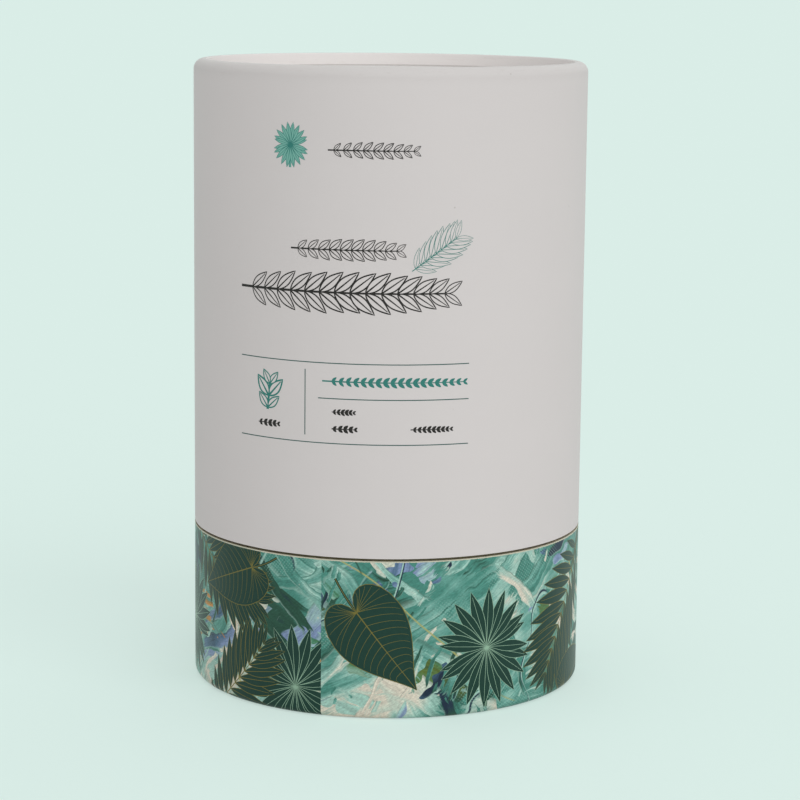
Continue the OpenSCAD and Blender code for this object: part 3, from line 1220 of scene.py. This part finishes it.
class GIFTBOX_OT_lid_papers(bpy.types.Operator):
    """Wraps the white paper round the lid and lines the lid"""

    bl_idname = "giftbox.lid_papers"
    bl_label = "Wrap and line the lid"

    def execute(self, context):
        papers = context.scene.box_papers
        piece = paper_sheet("lid_white_paper", lid_sheet(), white_paper("white_print", flat_place), edge_paper())
        hand_over(piece, "lid", "white_print", "lid_wrap")
        sheet = wall_sheet("lid_liner")
        lining = wound_paper("lid_lining", papers.lining, sheet)
        hand_over(paper_sheet("lid_lining_paper", sheet, lining, edge_paper()), "lid", "lining", "lid_liner")
        return {"FINISHED"}


class GIFTBOX_OT_neck_papers(bpy.types.Operator):
    """Winds the kraft paper round the neck and lines it"""

    bl_idname = "giftbox.neck_papers"
    bl_label = "Wrap and line the neck"

    def execute(self, context):
        papers = context.scene.box_papers
        sheet = wall_sheet("neck_wrap")
        kraft = wound_paper("kraft", papers.kraft, sheet, 0.5)
        hand_over(paper_sheet("neck_kraft_paper", sheet, kraft, kraft), "base", "kraft", "neck_wrap")
        sheet = wall_sheet("neck_liner")
        lining = wound_paper("neck_lining", papers.lining, sheet)
        hand_over(paper_sheet("neck_lining_paper", sheet, lining, edge_paper()), "base", "lining", "neck_liner")
        return {"FINISHED"}


class GIFTBOX_OT_board_finish(bpy.types.Operator):
    """Finishes the board pieces and the papers on the discs"""

    bl_idname = "giftbox.board_finish"
    bl_label = "Finish the board"

    def execute(self, context):
        papers = context.scene.box_papers
        board = board_surface()
        facing = white_paper("disc_facing", solid_place)
        lining = plain_paper("disc_lining", papers.lining, solid_place)
        finishes = {
            "lid_tube": board,
            "base_tube": board,
            "neck_tube": board,
            "lid_disc": board,
            "base_disc": board,
            "lid_disc_facing": facing,
            "base_disc_facing": facing,
            "lid_disc_lining": lining,
            "floor_lining": lining,
        }
        for node, material in finishes.items():
            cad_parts[node].material_slots[0].material = material
        return {"FINISHED"}


class GIFTBOX_OT_leaf_print(bpy.types.Operator):
    """Prints the leaves on the base's paper"""

    bl_idname = "giftbox.leaf_print"
    bl_label = "Print the base's leaves"

    # Kind, then in mm: place from the lap's free edge, height, length; and in degrees: heading, bend
    motifs = (
        ("heart", 4, 40, 28, -62, 10),
        ("fan", 48, 2, 28, 84, 14),
        ("frond", 99, 45, 46, 224, 20),
        ("heart", 76, -4, 24, 36, -20),
        ("fan", 124, 42, 28, 250, 16),
        ("sprig", 112, 0, 34, 64, -30),
        ("heart", 150, 0, 32, 78, 30),
        ("frond", 186, -4, 50, 118, 30),
        ("heart", 186, 18, 26, 20, 24),
        ("fan", 216, 44, 30, 262, 20),
        ("sprig", 222, 0, 32, 50, -24),
        ("frond", 252, -3, 48, 66, -40),
        ("heart", 250, 42, 26, 216, 24),
        ("fan", 292, 2, 28, 80, -18),
        ("frond", 300, 50, 42, -40, 24),
        ("heart", 344, 44, 25, 214, -20),
        ("fan", 350, -10, 29, 96, -12),
        ("frond", 312, -8, 38, 34, 20),
    )

    def execute(self, context):
        settings = context.scene.box_inks
        kinds = {"frond": feather_frond, "fan": fan_leaf, "sprig": lance_sprig, "heart": heart_leaf}
        shapes = []
        for seed, (kind, x, y, long, heading, bend) in enumerate(self.motifs):
            inks = ("leaf", "pale" if kind == "fan" else "gold")
            shapes += kinds[kind]((x * MM, y * MM), heading, long * MM, bend, inks, seed, settings.vein)
        sheet = base_sheet()
        inks = {
            "leaf": ink_surface("leaf_ink", settings.leaf, 0.36),
            "gold": ink_surface("gold_ink", settings.gold, 0.36),
            "pale": ink_surface("pale_ink", settings.pale, 0.36),
        }
        for piece in printed("base_print", sheet, on_sheet(sheet, shapes, 0.0), inks):
            hand_over(piece, "base", "leaf_print")
        return {"FINISHED"}


class GIFTBOX_OT_front_print(bpy.types.Operator):
    """Prints the twigs and the ruled panel on the lid's front"""

    bl_idname = "giftbox.front_print"
    bl_label = "Print the lid's front"

    # Panel of rules, in mm: from the front to each side, and heights above the floor
    panel_left = -45.5
    panel_right = 22.9
    panel_low = 78.0
    panel_high = 100.3
    divider = -23.4
    divider_margin = 2.0
    short_rule_left = -19.5
    short_rule_height = 90.5

    def rules(self, line):
        """The plain rules of the panel."""
        lines = (
            ((self.panel_left, self.panel_high), (self.panel_right, self.panel_high)),
            ((self.panel_left, self.panel_low), (self.panel_right, self.panel_low)),
            ((self.short_rule_left, self.short_rule_height), (self.panel_right, self.short_rule_height)),
            (
                (self.divider, self.panel_low + self.divider_margin),
                (self.divider, self.panel_high - self.divider_margin),
            ),
        )
        shapes = []
        for ends in lines:
            shapes += in_ink("slate", ribbon([Vector(end) * MM for end in ends], line))
        return shapes

    # Twigs in mm: place from the front, height; in degrees: heading; in mm: length, leaf length and
    # width; then the number of pairs, the inks of blades and lines, and the width of the lines
    twigs = (
        ((-17, 158.5), 0, 23.5, (3.4, 1.3), 9, (BARE, "charcoal"), 0.27),
        ((-27.9, 131.5), 0, 30, (4.5, 1.9), 10, (BARE, "charcoal"), 0.31),
        ((-45.5, 119.8), 0, 61, (8.6, 3.0), 14, (BARE, "charcoal"), 0.47),
        ((6.4, 126.0), 36, 15, (7.4, 2.1), 9, (BARE, "teal"), 0.17),
        ((-18.3, 95.3), 0, 39.6, (2.1, 0.8), 19, ("teal", "teal"), 0.27),
        ((-35.6, 86.0), 84, 7.2, (6.4, 2.9), 3, (BARE, "teal"), 0.56),
        ((-38.8, 82.2), 0, 6.6, (1.55, 0.75), 5, ("charcoal", "charcoal"), 0.2),
        ((-15.5, 86.8), 0, 6.0, (1.35, 0.6), 6, ("charcoal", "charcoal"), 0.16),
        ((-15.5, 82.1), 0, 6.4, (1.5, 0.7), 5, ("charcoal", "charcoal"), 0.24),
        ((6.4, 82.3), 0, 11.2, (1.4, 0.6), 9, ("charcoal", "charcoal"), 0.2),
    )
    rosette = (-28.3, 153.4, 10.0)

    def sprigs(self):
        """The twigs and the small fan leaf."""
        x, y, long = (value * MM for value in self.rosette)
        shapes = fan_leaf((x, y), 90, long, 0, ("soft_teal", "teal"), 3, 0.2 * MM)
        for seed, (foot, heading, long, leaf, count, inks, line) in enumerate(self.twigs):
            foot = [value * MM for value in foot]
            leaf = [value * MM for value in leaf]
            shapes += twig(foot, heading, long * MM, 0, inks, seed, line * MM, leaf, count, 0, (42, 34))
        return shapes

    def execute(self, context):
        settings = context.scene.box_inks
        sheet = lid_sheet()
        inks = {
            "slate": ink_surface("slate_ink", settings.slate, 0.55),
            "teal": ink_surface("teal_ink", settings.teal, 0.55),
            "soft_teal": ink_surface("soft_teal_ink", settings.soft_teal, 0.55),
            "charcoal": ink_surface("charcoal_ink", settings.charcoal, 0.5),
        }
        shapes = self.rules(settings.fine_line) + self.sprigs()
        front = (-sheet.lap_azimuth % FULL_TURN) * sheet.radius
        for piece in printed("lid_print", sheet, on_sheet(sheet, shapes, front), inks):
            hand_over(piece, "lid", "white_print")
        return {"FINISHED"}


class GIFTBOX_OT_stage(bpy.types.Operator):
    """Sets the floor, the surroundings, the lamps and the camera"""

    bl_idname = "giftbox.stage"
    bl_label = "Set the stage"

    floor_radius = 24.0
    # Lamp, its place round the box from the front, its height and its softness, in degrees
    lamps = (("key", 30, 38, 60), ("back", 165, 45, 60))

    def execute(self, context):
        stage = context.scene.box_stage
        self.make_floor(stage)
        self.make_surroundings(context.scene, stage)
        for name, azimuth, elevation, softness in self.lamps:
            self.make_lamp(context.scene, name, getattr(stage, name), azimuth, elevation, softness)
        self.make_camera(context.scene, stage)
        context.scene.view_settings.view_transform = "Standard"
        return {"FINISHED"}

    def seen(self, patch):
        """1 where the camera sees a surface, directly or in gloss or glass, and 0 where it only lights."""
        camera, glossy, through = patch.node(
            "ShaderNodeLightPath", None, None, ("Is Camera Ray", "Is Glossy Ray", "Is Transmission Ray")
        )
        return camera.at_least(glossy).at_least(through)

    def make_floor(self, stage):
        rim = [
            (self.floor_radius * math.cos(FULL_TURN * step / 64), self.floor_radius * math.sin(FULL_TURN * step / 64), 0)
            for step in range(64)
        ]
        floor = new_object("floor", rim, [], [list(range(64))])
        material = bpy.data.materials.new("floor")
        material.use_nodes = True
        material.node_tree.nodes.clear()
        patch = Patch(material.node_tree)
        seen = self.seen(patch)
        paint = tuple(min(c / stage.exposure, 1) for c in stage.backdrop)
        lit = patch.node("ShaderNodeBsdfDiffuse", None, {"Color": patch.mix(seen, tuple(stage.bounce), paint)})
        unshaded = patch.node("ShaderNodeEmission", None, {"Color": opaque(paint)})
        shader = patch.node("ShaderNodeMixShader", None, {0: seen * stage.glow, 1: lit, 2: unshaded})
        patch.node("ShaderNodeOutputMaterial", None, {"Surface": shader})
        floor.data.materials.append(material)

    def make_surroundings(self, scene, stage):
        world = bpy.data.worlds.new("surroundings")
        world.use_nodes = True
        world.node_tree.nodes.clear()
        patch = Patch(world.node_tree)
        light = tuple(c * stage.ambient for c in stage.bounce)
        tint = patch.mix(self.seen(patch), light, tuple(stage.backdrop))
        background = patch.node("ShaderNodeBackground", None, {"Color": tint, "Strength": 1.0})
        patch.node("ShaderNodeOutputWorld", None, {"Surface": background})
        scene.world = world

    def make_lamp(self, scene, name, strength, azimuth, elevation, softness):
        data = bpy.data.lights.new(name, "SUN")
        data.energy = strength
        data.angle = math.radians(softness)
        lamp = bpy.data.objects.new(name, data)
        around, up = math.radians(azimuth), math.radians(elevation)
        towards = Vector((math.sin(around) * math.cos(up), -math.cos(around) * math.cos(up), math.sin(up)))
        lamp.rotation_euler = towards.to_track_quat("Z", "Y").to_euler()
        lamp.location = towards
        scene.collection.objects.link(lamp)

    def make_camera(self, scene, stage):
        data = bpy.data.cameras.new("camera")
        data.lens = stage.lens
        data.clip_end = 2 * self.floor_radius
        camera = bpy.data.objects.new("camera", data)
        place = Vector((stage.camera_side, -stage.camera_distance, stage.camera_height))
        turns = (
            Matrix.Rotation(-stage.camera_yaw, 4, "Z"),
            Matrix.Rotation(math.pi / 2 - stage.camera_pitch, 4, "X"),
            Matrix.Rotation(stage.camera_roll, 4, "Z"),
        )
        camera.matrix_world = Matrix.Translation(place) @ turns[0] @ turns[1] @ turns[2]
        scene.collection.objects.link(camera)
        scene.camera = camera


OPERATORS = (
    GIFTBOX_OT_stage,
    GIFTBOX_OT_board_finish,
    GIFTBOX_OT_base_papers,
    GIFTBOX_OT_lid_papers,
    GIFTBOX_OT_neck_papers,
    GIFTBOX_OT_leaf_print,
    GIFTBOX_OT_front_print,
)
SETTINGS = {
    "box_papers": PaperSettings,
    "box_inks": InkSettings,
    "box_paint": PaintSettings,
    "box_stage": StageSettings,
}


class GIFTBOX_PT_panel(bpy.types.Panel):
    """Lists the steps that dress the box, and their settings"""

    bl_idname = "GIFTBOX_PT_panel"
    bl_label = "Gift Box"
    bl_space_type = "VIEW_3D"
    bl_region_type = "UI"
    bl_category = "Gift Box"

    def draw(self, context):
        for operator in OPERATORS:
            self.layout.operator(operator.bl_idname)
        for name in SETTINGS:
            box = self.layout.box()
            group = getattr(context.scene, name)
            for setting in group.bl_rna.properties.keys():
                if setting not in ("rna_type", "name"):
                    box.prop(group, setting)


def register():
    for name, group in SETTINGS.items():
        bpy.utils.register_class(group)
        setattr(bpy.types.Scene, name, PointerProperty(type=group))
    for operator in OPERATORS:
        bpy.utils.register_class(operator)
    bpy.utils.register_class(GIFTBOX_PT_panel)


def unregister():
    bpy.utils.unregister_class(GIFTBOX_PT_panel)
    for operator in reversed(OPERATORS):
        bpy.utils.unregister_class(operator)
    for name, group in SETTINGS.items():
        delattr(bpy.types.Scene, name)
        bpy.utils.unregister_class(group)


def main():
    """Dresses the box."""
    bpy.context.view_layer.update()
    register()
    for operator in OPERATORS:
        group, step = operator.bl_idname.split(".")
        getattr(getattr(bpy.ops, group), step)()
    for piece in list(bpy.data.materials):
        if not piece.users:
            bpy.data.materials.remove(piece)


if __name__ == "__main__":
    main()
